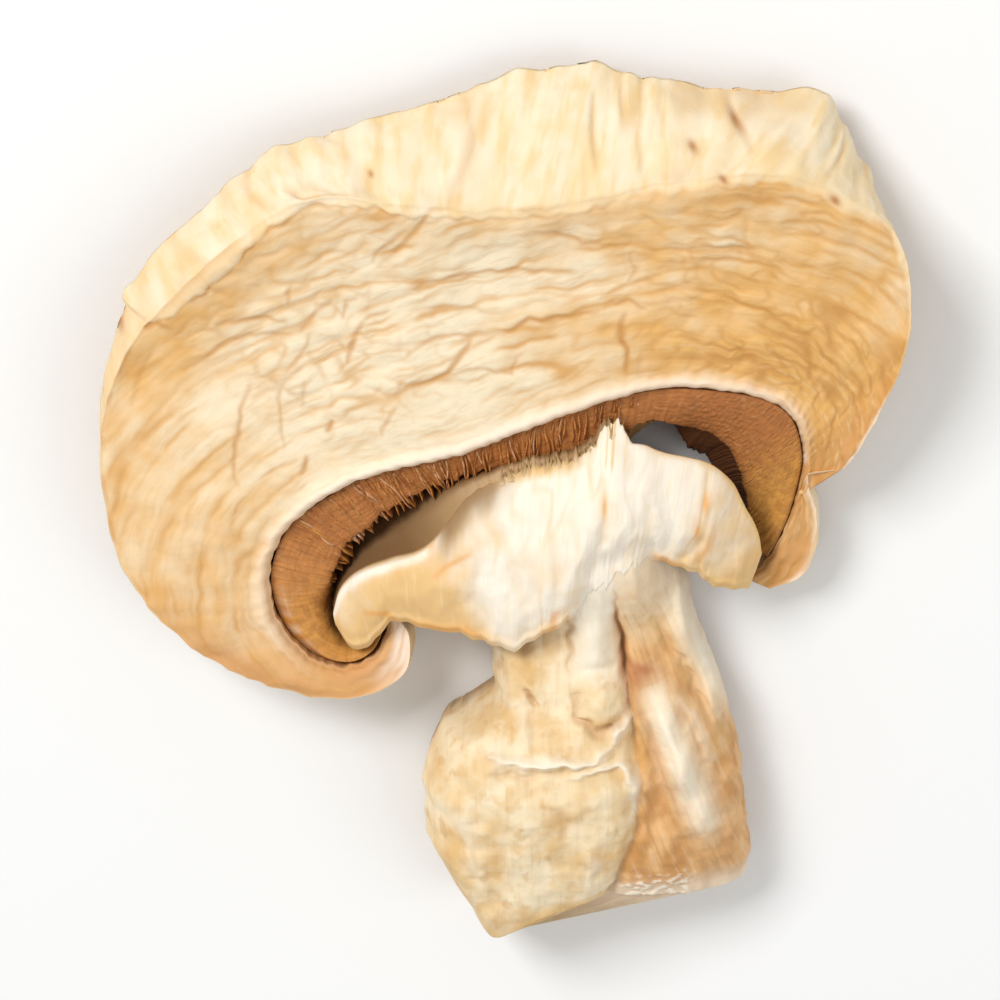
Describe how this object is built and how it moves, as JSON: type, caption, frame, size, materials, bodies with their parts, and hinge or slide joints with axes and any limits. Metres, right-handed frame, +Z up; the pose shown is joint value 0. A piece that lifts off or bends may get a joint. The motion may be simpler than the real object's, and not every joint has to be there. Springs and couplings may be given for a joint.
{
  "type": "dried button mushroom slice",
  "caption": "Dried slice of a button mushroom lying flat: curled cap with its skin, dark gills, torn pale veil and a short stem, as cut.",
  "frame": {"origin": "bottom centre of the slice's box, on the surface that it lies on", "axes": "+Z up, away from the back cut face that it lies on; +Y towards the crown of the cap; -Y towards the cut foot of the stem"},
  "size_m": [0.0384, 0.0428, 0.0072],
  "materials": {
    "cap_flesh": "dry, matte, wrinkled golden tan flesh with a paler skin",
    "gill_tissue": "dry, matte, finely ribbed dark brown",
    "veil_tissue": "dry, matte, fibrous cream",
    "stem_flesh": "dry, matte, creased cream and brown"
  },
  "bodies": {
    "root": {"cap": "cap_flesh", "gills": "gill_tissue", "veil": "veil_tissue", "stem": "stem_flesh"}
  },
  "joints": []
}
